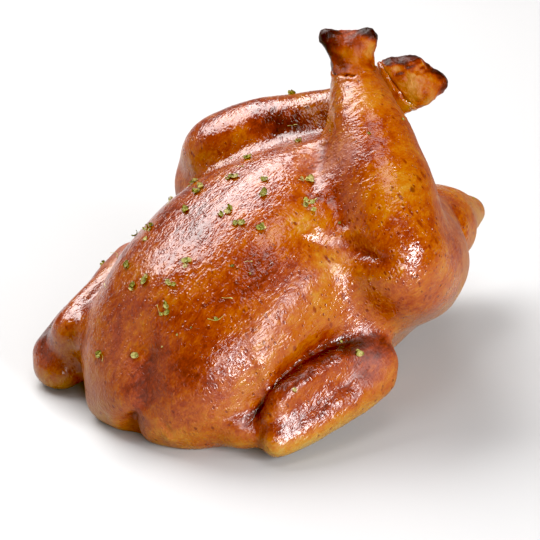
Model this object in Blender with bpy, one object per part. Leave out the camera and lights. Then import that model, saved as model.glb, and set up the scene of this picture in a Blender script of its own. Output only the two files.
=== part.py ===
"""A whole roast chicken, legs crossed and raised, lying on its back as it is served.

Units are metres, +Z is up, +X is the bird's right side and the neck end faces -Y.
The bird is one piece of meat under one skin, so it is one closed solid. Its torso, thighs,
drumsticks, ankle joints, wings and tail are lofted one by one, joined under one skin, and
the skin is then drawn over the valleys between them and pressed in along its creases.
"""
from math import pi

import bmesh
import bpy
import numpy as np
from mathutils import Matrix, Vector

# ---------------------------------------------------------------- driving dimensions
BODY_LENGTH = 0.206
BODY_HALF_WIDTH = 0.057
BREAST_HEIGHT = 0.107
DRUMSTICK_RADIUS = 0.026
WING_RADIUS = 0.0108
SKIN_VOXEL = 0.0025
TRIANGLES = 9200

# ---------------------------------------------------------------- torso
# Each station: share of the length, then the widest level, half width, top and underside,
# as shares of the breast height and of the half width. The underside dips below the table
# where the back spreads flat on it.
NECK_END = -0.018
TORSO_STATIONS = [
    (0.000, 0.190, 0.21, 0.250, 0.090),
    (0.015, 0.200, 0.39, 0.310, 0.030),
    (0.045, 0.215, 0.57, 0.400, -0.010),
    (0.085, 0.250, 0.74, 0.515, -0.070),
    (0.140, 0.290, 0.84, 0.640, -0.100),
    (0.230, 0.365, 0.93, 0.775, -0.130),
    (0.335, 0.420, 0.98, 0.890, -0.090),
    (0.460, 0.460, 1.00, 0.970, -0.065),
    (0.590, 0.475, 0.98, 1.000, -0.030),
    (0.710, 0.470, 0.89, 0.960, 0.040),
    (0.815, 0.440, 0.74, 0.820, 0.100),
    (0.920, 0.410, 0.58, 0.645, 0.170),
    (1.000, 0.400, 0.42, 0.560, 0.230),
]
UPPER_SQUARENESS = 2.1
LOWER_SQUARENESS = 2.45
NECK_CAP = 0.002
RUMP_CAP = 0.015
FLANK = ((0.048, 0.104, 0.048), (0.021, 0.036, 0.019))
NECK_SKIN_LEFT = ((-0.0150, -0.0040, 0.0105), (0.0160, 0.0120, 0.0130))
NECK_SKIN_RIGHT = ((0.020, 0.000, 0.0105), (0.014, 0.0105, 0.0100))

# ---------------------------------------------------------------- legs
# The right leg crosses over the left one. Thigh rows: place, half width, half depth.
RIGHT, LEFT = 1, -1
KNEE = {RIGHT: (0.0585, 0.0995, 0.071), LEFT: (-0.054, 0.106, 0.080)}
ANKLE = {RIGHT: (-0.005, 0.134, 0.138), LEFT: (0.008, 0.161, 0.121)}
THIGH = {
    RIGHT: [
        (0.022, 0.152, 0.047, 0.019, 0.019),
        (0.035, 0.140, 0.049, 0.022, 0.025),
        (0.048, 0.122, 0.057, 0.025, 0.028),
        (0.057, 0.105, 0.065, 0.025, 0.027),
        (0.060, 0.099, 0.071, 0.023, 0.026),
    ],
    LEFT: [
        (-0.022, 0.152, 0.047, 0.019, 0.019),
        (-0.035, 0.140, 0.049, 0.022, 0.025),
        (-0.047, 0.124, 0.058, 0.025, 0.028),
        (-0.057, 0.108, 0.067, 0.025, 0.027),
        (-0.054, 0.107, 0.077, 0.022, 0.025),
    ],
}
# Share of the way from knee to ankle, size as a share of the drumstick radius, and how far
# the meat hangs below the bone.
DRUMSTICK = {
    RIGHT: [
        (0.00, 0.95, 0), (0.18, 0.99, 0), (0.38, 0.93, 0), (0.59, 0.80, 0), (0.72, 0.67, 0),
        (0.835, 0.55, 0), (0.90, 0.46, 0), (0.96, 0.38, 0), (1.00, 0.39, 0),
    ],
    LEFT: [
        (0.00, 0.96, 0), (0.18, 0.93, 0), (0.38, 0.81, 0.0012), (0.56, 0.66, 0.0022),
        (0.70, 0.56, 0.0022), (0.82, 0.46, 0.001), (0.90, 0.42, 0), (1.00, 0.42, 0),
    ],
}
# Ankle joints: start, end, then share of the way and the two half sizes.
ANKLE_JOINT = {
    RIGHT: ((-0.004, 0.134, 0.135), (-0.0055, 0.1345, 0.148),
            [(0, 0.0086, 0.008), (0.35, 0.0098, 0.009), (0.7, 0.0118, 0.0105), (1, 0.0124, 0.0095)],
            (0.7, 0.7, 0)),
    LEFT: ((0.004, 0.157, 0.119), (0.012, 0.166, 0.1265),
           [(0, 0.011, 0.010), (0.4, 0.0125, 0.0115), (0.8, 0.0125, 0.0110), (1, 0.0105, 0.0095)],
           (0.7, 0, -0.7)),
}
KNUCKLES = [
    ((-0.0115, 0.1270, 0.1490), (0.0052, 0.0052, 0.0050)),
    ((0.0005, 0.1380, 0.1485), (0.0058, 0.0058, 0.0053)),
    ((0.001, 0.1540, 0.1290), (0.0072, 0.0072, 0.0062)),
    ((0.008, 0.1600, 0.1320), (0.0060, 0.0060, 0.0050)),
    ((0.015, 0.1705, 0.1220), (0.0058, 0.0058, 0.0062)),
]

# ---------------------------------------------------------------- wings and tail
# Each wing: wrist, elbow, where the upper arm leaves the shoulder, and extra fatness. A round
# elbow covers both bones' ends, the left wing's tip shows beside the neck, and a lump of meat
# at each shoulder carries the wing.
WING = {
    RIGHT: ((0.063, 0.019, 0.0095), (0.0680, 0.076, 0.0235), (0.055, 0.028, 0.022), 0.0),
    LEFT: ((-0.067, 0.003, 0.012), (-0.070, 0.056, 0.030), (-0.051, 0.007, 0.026), 0.0020),
}
FOREARM = [(0, 0.68, 0.78), (0.25, 0.90, 0.94), (0.6, 1.02, 1.04), (1, 0.98, 1.00)]
UPPER_ARM = [(0, 0.92, 1.08), (0.35, 0.98, 1.08), (0.7, 1.0, 1.08), (1, 0.92, 0.98)]
UPPER_ARM_INSET = 0.0055
UPPER_ARM_SHORTER = 0.002
UPPER_ARM_RISE = 0.0100
ELBOW = [
    ((0.0655, 0.0765, 0.0285), (0.0125, 0.0125, 0.0130)),
    ((-0.0675, 0.0565, 0.0355), (0.0135, 0.0130, 0.0135)),
]
WING_TIP = ((-0.059, 0.000, 0.009), (0.014, 0.011, 0.010))
SHOULDER = ((0.044, 0.0185, 0.0115), (0.013, 0.014, 0.0115))
TAIL = [
    (0, 0.184, 0.044, 0.022, 0.0185),
    (0, 0.197, 0.0425, 0.018, 0.0140),
    (0, 0.206, 0.0405, 0.0135, 0.0103),
    (0, 0.2115, 0.040, 0.0098, 0.0080),
]

# ---------------------------------------------------------------- creases in the skin
# Each path lies on the skin, and the creases() below says how wide and deep it is.
WING_TOP = [(0.046, 0.014, 0.004), (0.050, 0.016, 0.015), (0.054, 0.020, 0.025), (0.056, 0.029, 0.035),
            (0.057, 0.041, 0.040), (0.058, 0.054, 0.043), (0.061, 0.064, 0.044), (0.066, 0.074, 0.045)]
WING_SPLIT = [(0.070, 0.010, 0.012), (0.071, 0.028, 0.0195), (0.072, 0.046, 0.0265), (0.073, 0.062, 0.033)]
LEG_ROOT = [(0.008, 0.110, 0.122), (0.011, 0.101, 0.113), (0.014, 0.096, 0.107), (0.018, 0.088, 0.104),
            (0.025, 0.077, 0.099), (0.032, 0.070, 0.093)]
KNEE_FOLD = [(0.040, 0.058, 0.084), (0.044, 0.066, 0.084), (0.051, 0.075, 0.081), (0.063, 0.078, 0.079),
             (0.076, 0.088, 0.078)]
KNEE_HOLLOW = [(0.033, 0.086, 0.100), (0.042, 0.080, 0.092), (0.048, 0.077, 0.086)]
NECK_DENT = [(0.007, -0.004, 0.046), (0.012, -0.009, 0.036), (0.017, -0.013, 0.027), (0.015, -0.014, 0.016)]
NECK_CLEFT = [(0.004, -0.010, -0.014), (0.004, -0.014, 0.000), (0.006, -0.015, 0.010), (0.012, -0.013, 0.021)]
LEG_GAP = [(-0.044, 0.074, 0.089), (-0.037, 0.083, 0.096), (-0.028, 0.092, 0.103), (-0.018, 0.103, 0.109),
           (-0.008, 0.117, 0.112)]
RUMP_FOLD = [(0.020, 0.179, 0.063), (0.027, 0.179, 0.052), (0.031, 0.176, 0.040), (0.030, 0.170, 0.028)]
KEEL = [(0, 0.024, 0.077), (0, 0.054, 0.098), (0.001, 0.095, 0.108), (0, 0.125, 0.107)]
VENT = [(0, 0.176, 0.072), (0, 0.182, 0.062)]
LEFT_WING_SHIFT = (0.004, -0.016, 0.005)
LEFT_SPLIT_SHIFT = (0, -0.016, 0.005)
LEFT_LEG_SHIFT = (0, 0.003, 0.004)

# ---------------------------------------------------------------- how the skin is drawn
DRAWS = 60
DRAW_STEP = 0.6
DRAW_OPEN = 0.25
DRAW_WING = 0.08
DRAW_LEG_GAP = 0.06

SKIN_COLOUR = (0.42, 0.12, 0.026, 1.0)
CAP_SHARES = np.linspace(0.08, 0.96, 6)


def clear_scene():
    for thing in list(bpy.data.objects):
        bpy.data.objects.remove(thing)


def new_object(name, bm):
    mesh = bpy.data.meshes.new(name)
    bm.to_mesh(mesh)
    bm.free()
    obj = bpy.data.objects.new(name, mesh)
    bpy.context.scene.collection.objects.link(obj)
    return obj


def smooth_rows(rows, per_span=6):
    """The rows, with eased ones between them (a Catmull-Rom curve through every row)."""
    rows = np.array(rows, float)
    rows = np.vstack([2 * rows[0] - rows[1], rows, 2 * rows[-1] - rows[-2]])
    eased = []
    for i in range(1, len(rows) - 2):
        a, b, c, d = rows[i - 1:i + 3]
        for t in np.arange(per_span) / per_span:
            eased.append(0.5 * (2 * b + (c - a) * t + (2 * a - 5 * b + 4 * c - d) * t ** 2
                                + (3 * b - a - 3 * c + d) * t ** 3))
    eased.append(rows[-2])
    return np.array(eased)


def loft(name, rings):
    """A closed tube through rings of equal count, with its two ends filled."""
    bm = bmesh.new()
    loops = [[bm.verts.new(Vector(point)) for point in ring] for ring in rings]
    count = len(loops[0])
    for one, other in zip(loops, loops[1:]):
        for i in range(count):
            j = (i + 1) % count
            bm.faces.new((one[i], one[j], other[j], other[i]))
    bm.faces.new(loops[0][::-1])
    bm.faces.new(loops[-1])
    bmesh.ops.recalc_face_normals(bm, faces=bm.faces)
    return new_object(name, bm)


def limb(name, rows, side, ends=(1.0, 1.0), count=28):
    """A round-ended limb along rows of x, y, z, half size towards side, half size across it."""
    rows = smooth_rows(rows)
    centre, wide, deep = rows[:, :3], rows[:, 3], rows[:, 4]
    along = np.gradient(centre, axis=0)
    along /= np.linalg.norm(along, axis=1)[:, None]
    turn = np.linspace(0, 2 * pi, count, endpoint=False)

    def ring(i, scale=1.0, step=0.0):
        towards = np.array(side, float)
        towards -= towards.dot(along[i]) * along[i]
        towards /= np.linalg.norm(towards)
        across = np.cross(along[i], towards)
        middle = centre[i] + along[i] * step
        return (middle + np.cos(turn)[:, None] * wide[i] * scale * towards
                + np.sin(turn)[:, None] * deep[i] * scale * across)

    last = len(rows) - 1
    start_reach = min(wide[0], deep[0]) * ends[0]
    end_reach = min(wide[last], deep[last]) * ends[1]
    rings = [ring(0, np.sqrt(1 - q * q), -start_reach * q) for q in CAP_SHARES[::-1]]
    rings += [ring(i) for i in range(len(rows))]
    rings += [ring(last, np.sqrt(1 - q * q), end_reach * q) for q in CAP_SHARES]
    return loft(name, rings)


def lump(name, centre, radii):
    """An ellipsoid of meat or skin."""
    bm = bmesh.new()
    place = Matrix.Translation(Vector(centre)) @ Matrix.Diagonal((*radii, 1))
    bmesh.ops.create_icosphere(bm, subdivisions=4, radius=1.0, matrix=place)
    return new_object(name, bm)


def torso():
    """Neck end to rump, in rounded sections that are squarer below the widest level."""
    turn = np.linspace(0, 2 * pi, 48, endpoint=False)
    across, up = np.sin(turn), np.cos(turn)
    power = 2 / np.where(up > 0, UPPER_SQUARENESS, LOWER_SQUARENESS)

    def ring(station, scale=1.0, step=0.0):
        share, level, half, top, under = station
        level, top, under = (value * BREAST_HEIGHT for value in (level, top, under))
        x = half * BODY_HALF_WIDTH * scale * np.sign(across) * np.abs(across) ** power
        reach = np.where(up > 0, top - level, level - under) * scale
        z = level + reach * np.sign(up) * np.abs(up) ** power
        y = np.full_like(x, NECK_END + share * BODY_LENGTH + step)
        return np.stack([x, y, z], axis=1)

    stations = smooth_rows(TORSO_STATIONS)
    rings = [ring(stations[0], np.sqrt(1 - q * q), -NECK_CAP * q) for q in CAP_SHARES[::-1]]
    rings += [ring(station) for station in stations]
    rings += [ring(stations[-1], np.sqrt(1 - q * q), RUMP_CAP * q) for q in CAP_SHARES]
    return loft("torso", rings)


def between(start, end, rows):
    """Rows of share and sizes, turned into rows of place and sizes on a straight bone."""
    start, end = np.array(start), np.array(end)
    return [(*(start + (end - start) * row[0]), *row[1:]) for row in rows]


def leg(hand):
    """Thigh, drumstick and the ankle joint at its end."""
    rows = []
    for share, size, hang in DRUMSTICK[hand]:
        x, y, z = np.array(KNEE[hand]) * (1 - share) + np.array(ANKLE[hand]) * share
        radius = size * DRUMSTICK_RADIUS
        rows.append((x, y, z - hang, radius * 0.985, radius * 1.015))
    start, end, joint_rows, joint_side = ANKLE_JOINT[hand]
    return [
        limb("thigh", THIGH[hand], side=(hand, 0.3, 0)),
        limb("drumstick", rows, side=(0.7 * hand, 0.7, 0), ends=(1.0, 0.4)),
        limb("ankle_joint", between(start, end, joint_rows), side=joint_side, ends=(0.3, 0.35)),
    ]


def wing(hand):
    """Upper arm and forearm folded flat against each other; the wing tip is tucked away."""
    wrist, elbow, shoulder, fat = WING[hand]

    def sized(rows):
        return [(t, a * WING_RADIUS + fat, b * WING_RADIUS + fat) for t, a, b in rows]

    inner_elbow = np.array(elbow) + (-hand * UPPER_ARM_INSET, -UPPER_ARM_SHORTER, UPPER_ARM_RISE)
    return [
        limb("forearm", between(wrist, elbow, sized(FOREARM)), side=(hand, 0, 0)),
        limb("upper_arm", between(shoulder, inner_elbow, sized(UPPER_ARM)), side=(hand, 0, 0)),
    ]


def mirrored(path, shift=(0, 0, 0)):
    """The same path on the other side of the bird, moved a little."""
    return [(shift[0] - x, shift[1] + y, shift[2] + z) for x, y, z in path]


def flesh():
    """Every lump of the bird, still as separate overlapping solids."""
    centre, radii = FLANK
    lumps = [torso(), *leg(RIGHT), *leg(LEFT), *wing(RIGHT), *wing(LEFT)]
    lumps.append(lump("flank", centre, radii))
    lumps.append(lump("flank", mirrored([centre])[0], radii))
    centre, radii = SHOULDER
    lumps.append(lump("shoulder", centre, radii))
    lumps.append(lump("shoulder", mirrored([centre])[0], radii))
    lumps += [lump("elbow", place, size) for place, size in ELBOW]
    lumps.append(lump("wing_tip", *WING_TIP))
    lumps.append(lump("neck_skin", *NECK_SKIN_LEFT))
    lumps.append(lump("neck_skin", *NECK_SKIN_RIGHT))
    lumps.append(limb("tail", TAIL, side=(1, 0, 0)))
    lumps += [lump("knuckle", place, size) for place, size in KNUCKLES]
    return lumps


def joined(name, lumps):
    bm = bmesh.new()
    for one in lumps:
        bm.from_mesh(one.data)
        bpy.data.objects.remove(one)
    return new_object(name, bm)


def apply_modifier(obj, name, kind, **settings):
    """Adds one modifier, bakes its result into the mesh and takes it off again."""
    modifier = obj.modifiers.new(name, kind)
    for key, value in settings.items():
        setattr(modifier, key, value)
    evaluated = obj.evaluated_get(bpy.context.evaluated_depsgraph_get())
    mesh = bpy.data.meshes.new_from_object(evaluated)
    obj.modifiers.clear()
    obj.data = mesh


class Skin:
    """The points of a closed mesh and their neighbours, for moves of the skin as a whole."""

    def __init__(self, mesh):
        self.mesh = mesh
        count = len(mesh.vertices)
        flat = np.empty(count * 3, np.float32)
        mesh.vertices.foreach_get("co", flat)
        self.points = flat.reshape(-1, 3).astype(float)
        ends = np.empty(len(mesh.edges) * 2, np.int32)
        mesh.edges.foreach_get("vertices", ends)
        ends = ends.reshape(-1, 2)
        self.here = np.concatenate([ends[:, 0], ends[:, 1]])
        self.there = np.concatenate([ends[:, 1], ends[:, 0]])
        self.degree = np.bincount(self.here, minlength=count).astype(float)

    def write(self):
        self.mesh.vertices.foreach_set("co", self.points.astype(np.float32).ravel())
        self.mesh.update()

    def normals(self):
        self.write()
        flat = np.empty(len(self.points) * 3, np.float32)
        self.mesh.vertex_normals.foreach_get("vector", flat)
        return flat.reshape(-1, 3).astype(float)

    def pull(self):
        """From each point to the middle of its neighbours."""
        sums = [np.bincount(self.here, weights=self.points[self.there, k], minlength=len(self.degree))
                for k in range(3)]
        return np.stack(sums, axis=1) / self.degree[:, None] - self.points

    def smooth(self, times, step):
        for _ in range(times):
            self.points += self.pull() * step

    def draw_over_valleys(self, times, step, share):
        """Lifts hollows only, as a shrinking skin does between two lumps of meat."""
        for turn in range(times):
            if turn % 4 == 0:
                normal = self.normals()
            pull = self.pull()
            outward = (pull * normal).sum(axis=1)
            sideways = pull - normal * outward[:, None]
            move = normal * np.clip(outward, 0, None)[:, None] + 0.3 * sideways
            self.points += move * step * share[:, None]

    def press(self, path, width, depth):
        """A crease of the given depth along a path; a negative depth raises a ridge."""
        distance, share = along_path(self.points, path)
        fade = np.clip(np.minimum(share, 1 - share) / 0.15, 0.25, 1)
        sink = depth * fade * np.exp(-(distance / width) ** 2)
        self.points -= self.normals() * sink[:, None]


def along_path(points, path):
    """Distance from each point to a bent line, and the share of the way along the line."""
    path = np.array(path, float)
    lengths = np.linalg.norm(np.diff(path, axis=0), axis=1)
    nearest = np.full(len(points), np.inf)
    share = np.zeros(len(points))
    passed = 0.0
    for a, b, length in zip(path, path[1:], lengths):
        t = np.clip((points - a) @ (b - a) / length ** 2, 0, 1)
        distance = np.linalg.norm(points - a - t[:, None] * (b - a), axis=1)
        better = distance < nearest
        nearest[better] = distance[better]
        share[better] = (passed + t[better] * length) / lengths.sum()
        passed += length
    return nearest, share


def within(value, low, high, soft):
    """1 between low and high, easing to 0 over the soft margin outside them."""
    return np.clip((value - low) / soft + 1, 0, 1) * np.clip((high - value) / soft + 1, 0, 1)


def draw_share(points):
    """How strongly the skin is drawn over hollows: most on the flanks and from the breast to the
    right leg, least at the wings and between the breast and the left leg."""
    x, y, z = points.T
    flanks = within(y, 0.070, 0.170, 0.015) * within(z, 0, 0.066, 0.012)
    beside = np.abs(x)
    wings = within(y, -0.010, 0.080, 0.012) * within(beside, 0.048, 0.090, 0.006) * within(z, 0, 0.040, 0.008)
    leg_gap = within(x, -0.070, -0.012, 0.006) * within(y, 0.060, 0.150, 0.010)
    leg_gap *= within(z, 0.084, 0.130, 0.008)
    web = within(x, 0.006, 0.044, 0.008) * within(y, 0.070, 0.128, 0.010)
    web *= within(z, 0.084, 0.126, 0.008)
    share = DRAW_OPEN + (1 - DRAW_OPEN) * np.maximum(flanks, web)
    share = share * (1 - wings) + DRAW_WING * wings
    return share * (1 - leg_gap) + DRAW_LEG_GAP * leg_gap


def creases():
    """Every crease of the skin: path, half width and depth."""
    return [
        (WING_TOP, 0.0036, 0.0045),
        (WING_SPLIT, 0.0040, 0.0006),
        (mirrored(WING_TOP, LEFT_WING_SHIFT), 0.0036, 0.0035),
        (mirrored(WING_SPLIT, LEFT_SPLIT_SHIFT), 0.0040, 0.0006),
        (LEG_ROOT, 0.0040, 0.0016),
        (mirrored(LEG_ROOT, LEFT_LEG_SHIFT), 0.0055, 0.0024),
        (KNEE_FOLD, 0.0045, 0.0026),
        (mirrored(KNEE_FOLD), 0.0045, 0.0022),
        (KNEE_HOLLOW, 0.0080, 0.0018),
        (mirrored(KNEE_HOLLOW), 0.0080, 0.0016),
        (NECK_DENT, 0.0080, 0.0022),
        (NECK_CLEFT, 0.0050, 0.0085),
        (LEG_GAP, 0.0060, 0.0050),
        (RUMP_FOLD, 0.0040, 0.0022),
        (mirrored(RUMP_FOLD), 0.0040, 0.0022),
        (KEEL, 0.0060, -0.0008),
        (VENT, 0.0090, 0.0040),
    ]


def stand_on_table(mesh):
    """Cuts the back off flat at the table and puts the origin under the middle of the box."""
    bm = bmesh.new()
    bm.from_mesh(mesh)
    everything = bm.verts[:] + bm.edges[:] + bm.faces[:]
    table = {"plane_co": (0, 0, 0), "plane_no": (0, 0, -1)}
    bmesh.ops.bisect_plane(bm, geom=everything, dist=1e-6, clear_outer=True, **table)
    rim = [edge for edge in bm.edges if edge.is_boundary]
    flat = bmesh.ops.contextual_create(bm, geom=rim)["faces"]
    bmesh.ops.triangulate(bm, faces=flat)
    low = [min(vert.co[k] for vert in bm.verts) for k in range(3)]
    high = [max(vert.co[k] for vert in bm.verts) for k in range(3)]
    bmesh.ops.translate(bm, vec=(-(low[0] + high[0]) / 2, -(low[1] + high[1]) / 2, -low[2]), verts=bm.verts)
    bm.to_mesh(mesh)
    bm.free()


def skin_material():
    material = bpy.data.materials.new("roast_skin")
    material.use_nodes = True
    shader = material.node_tree.nodes["Principled BSDF"]
    shader.inputs["Base Color"].default_value = SKIN_COLOUR
    shader.inputs["Roughness"].default_value = 0.35
    shader.inputs["Metallic"].default_value = 0.0
    return material


def roast_chicken():
    bird = joined("roast_chicken", flesh())
    apply_modifier(bird, "one skin", "REMESH", mode="VOXEL", voxel_size=SKIN_VOXEL)
    skin = Skin(bird.data)
    skin.draw_over_valleys(DRAWS, DRAW_STEP, draw_share(skin.points))
    skin.smooth(2, 0.5)
    for path, width, depth in creases():
        skin.press(path, width, depth)
    skin.smooth(1, 0.4)
    skin.write()
    faces = sum(len(face.vertices) - 2 for face in bird.data.polygons)
    apply_modifier(bird, "fewer faces", "DECIMATE", ratio=TRIANGLES / faces, use_collapse_triangulate=True)
    stand_on_table(bird.data)
    bird.data.shade_smooth()
    bird.data.materials.append(skin_material())
    return bird


clear_scene()
roast_chicken()
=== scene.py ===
"""The looks of a whole roast chicken: glazed browned skin, ankle joints, herbs and pepper.

The frame's axes hold: +X is the bird's right side, the neck end faces -Y and +Z is up. Places
are written in millimetres from the middle of the bird's underside, and at() turns them into metres.
"""

from math import cos, pi, radians, sin

import bmesh
import bpy
import numpy as np
from mathutils import Matrix, Vector, noise
from mathutils.bvhtree import BVHTree


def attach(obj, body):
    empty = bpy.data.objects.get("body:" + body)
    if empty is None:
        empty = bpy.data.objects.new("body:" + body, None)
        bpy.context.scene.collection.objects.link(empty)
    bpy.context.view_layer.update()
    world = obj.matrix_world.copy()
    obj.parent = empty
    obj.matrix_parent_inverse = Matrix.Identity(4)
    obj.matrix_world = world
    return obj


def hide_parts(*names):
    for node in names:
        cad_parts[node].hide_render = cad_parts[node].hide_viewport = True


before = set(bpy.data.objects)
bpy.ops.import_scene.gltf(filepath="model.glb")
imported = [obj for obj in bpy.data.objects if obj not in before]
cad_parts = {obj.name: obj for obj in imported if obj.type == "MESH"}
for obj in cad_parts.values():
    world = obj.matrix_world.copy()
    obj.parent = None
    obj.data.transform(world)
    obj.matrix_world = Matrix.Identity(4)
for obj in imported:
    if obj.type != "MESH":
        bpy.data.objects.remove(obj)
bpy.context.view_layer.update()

BODY = "root"
NODE = "roast_chicken"
# The bird's sides, which are also the signs of their X.
RIGHT, LEFT = 1, -1


def mm(values):
    """Millimetres to metres, for one number or several."""
    return np.array(values, float) * 0.001


# Places are measured from here, on the table under the middle of the bird.
ORIGIN = mm((0.6, 0.95, 0))


def at(places):
    """A place or a list of places, given in millimetres."""
    return mm(places) + ORIGIN


def other_side(path, shift):
    """The same path on the bird's left, moved a little because no bird is quite even."""
    return [(shift[0] - x, shift[1] + y, shift[2] + z) for x, y, z in path]


# ---------------- the skin's fine mesh
# Edge length of each fine mesh in metres, and how often it is smoothed to lose the solid's facets.
SKIN_SPACING = 0.00123
SKIN_SMOOTHING = 8
JOINT_SPACING = 0.0007
JOINT_SMOOTHING = 6
# How far an ankle joint reaches past the skin's edge, and how far under it its piece starts, in metres.
JOINT_REACH = 0.024
JOINT_ROOT = 0.004

# Creases and ridges: path, half width and depth in millimetres; a ridge has a depth below 0.
WING_TOP = [(45, -86, 4), (49, -84, 15), (53, -80, 25), (55, -71, 35), (56, -59, 40), (57, -46, 43),
            (60, -36, 44), (65, -26, 45)]
WING_CREST = [(54, -84, 11), (58, -80, 21), (60, -71, 31), (61, -59, 36), (63, -46, 39), (66, -36, 40)]
WING_RIDGE = [(61, -82, 23), (64, -66, 32), (67, -50, 38), (70, -36, 41)]
WING_FOOT = [(73, -82, 7), (76, -64, 13), (77, -48, 19), (77, -34, 24)]
WING_SPLIT = [(69, -90, 12), (70, -72, 20), (71, -54, 27), (72, -38, 33)]
LEG_VALLEY = [(10, 2, 113), (13, -4, 107), (17, -12, 104), (23, -20, 99)]
KNEE_FOLD = [(37, -40, 86), (43, -34, 84), (50, -25, 81), (62, -21, 79), (75, -12, 78)]
KNEE_HOLLOW = [(30, -13, 101), (38, -18, 93), (45, -22, 85)]
NECK_DENT = [(6, -104, 46), (11, -109, 36), (16, -113, 27), (14, -114, 16)]
NECK_CLEFT = [(3, -114, -2), (4, -115, 5), (6, -114, 13), (11, -113, 21)]
RUMP_FOLD = [(19, 79, 63), (26, 79, 52), (30, 76, 40), (29, 70, 28)]
LEFT_LEG_ROOT = [(-9, 13, 126), (-12, 4, 117), (-15, -1, 111), (-19, -9, 108), (-26, -20, 103),
                 (-33, -27, 97)]
LEFT_LEG_VALLEY = [(-59, -19, 85), (-50, -17, 91), (-43, -11, 96), (-36, -5, 100), (-28, 4, 104),
                   (-22, 12, 108)]
CREASES = [
    (WING_CREST, 4.5, -2.0),
    (WING_TOP, 1.6, 1.4),
    (WING_SPLIT, 2.8, 0.4),
    (WING_RIDGE, 3.2, -0.8),
    (WING_FOOT, 3.2, -0.8),
    (other_side(WING_CREST, (2, -16, 5)), 5.0, -1.4),
    (other_side(WING_TOP, (2, -16, 5)), 2.0, 0.3),
    (other_side(WING_SPLIT, (-2, -16, 5)), 3.0, 0.5),
    (LEFT_LEG_ROOT, 2.0, 1.4),
    (LEFT_LEG_VALLEY, 8.5, 2.2),
    (LEG_VALLEY, 5.0, 0.8),
    (KNEE_FOLD, 1.8, 1.6),
    (other_side(KNEE_FOLD, (-2, 0, 0)), 1.8, 1.3),
    (KNEE_HOLLOW, 4.0, 1.4),
    (NECK_DENT, 5.0, 1.0),
    (NECK_CLEFT, 2.2, 2.4),
    (RUMP_FOLD, 2.2, 1.4),
    (other_side(RUMP_FOLD, (-2, 0, 0)), 2.2, 1.4),
    # The turn from breast to side.
    ([(44, -84, 46), (47, -72, 56), (47, -56, 66), (48, -36, 77)], 8.0, -1.0),
    ([(50, -82, 36), (53, -70, 40), (55, -56, 46)], 9.0, -1.8),
    # Pulled skin between breast and leg, then small folds at the neck and beside the wing.
    ([(19, -23, 99), (25, -22, 99), (31, -17, 99)], 1.3, -0.5),
    ([(20, -29, 96), (28, -28, 95), (36, -22, 95)], 1.3, -0.5),
    ([(23, -35, 93), (32, -33, 90), (40, -29, 88)], 1.4, -0.5),
    ([(47, -34, 78), (55, -28, 74), (64, -26, 71)], 1.6, -0.6),
    ([(50, -40, 72), (57, -33, 68), (64, -30, 64)], 1.6, -0.5),
    ([(37, -98, 22), (44, -94, 20), (49, -87, 21)], 1.5, 1.1),
    ([(22, -112, 18), (27, -112, 12), (29, -109, 5)], 1.6, 0.9),
    ([(-3, -116, 15), (-8, -118, 10), (-10, -117, 4)], 1.6, 0.7),
    ([(14, -112, 24), (21, -111, 27), (28, -108, 30)], 1.8, 0.5),
    ([(-14, 90, 58), (-2, 93, 60), (9, 90, 58)], 1.6, 0.5),
    ([(-12, 97, 55), (-1, 99, 56), (8, 97, 55)], 1.4, 0.4),
]

# Small lumps of the skin: centre, radius and height in millimetres.
SKIN_LUMPS = [
    ((27, -111, 8), 3.4, 2.0),
    ((-61, -98, 22), 7, 1.2),
    ((-54, -99, 26), (9, 8, 9), 2.2),
]

# Swells of the meat under the skin: height in millimetres, size in metres and seed.
SWELLS = [(0.50, 0.026, 1), (0.22, 0.0125, 2), (0.07, 0.0055, 3)]

# Pleats where the thigh starts: centre and radius, the way from ripple to ripple, their length in
# metres, their height in millimetres and a seed.
PLEATS = [
    ((38, -22, 92), (16, 12, 12), (0.35, 0.75, -0.55), 0.0042, 0.25, 41),
    ((13, -9, 106), (12, 12, 9), (-0.55, 0.80, 0.2), 0.0046, 0.8, 43),
]


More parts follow.
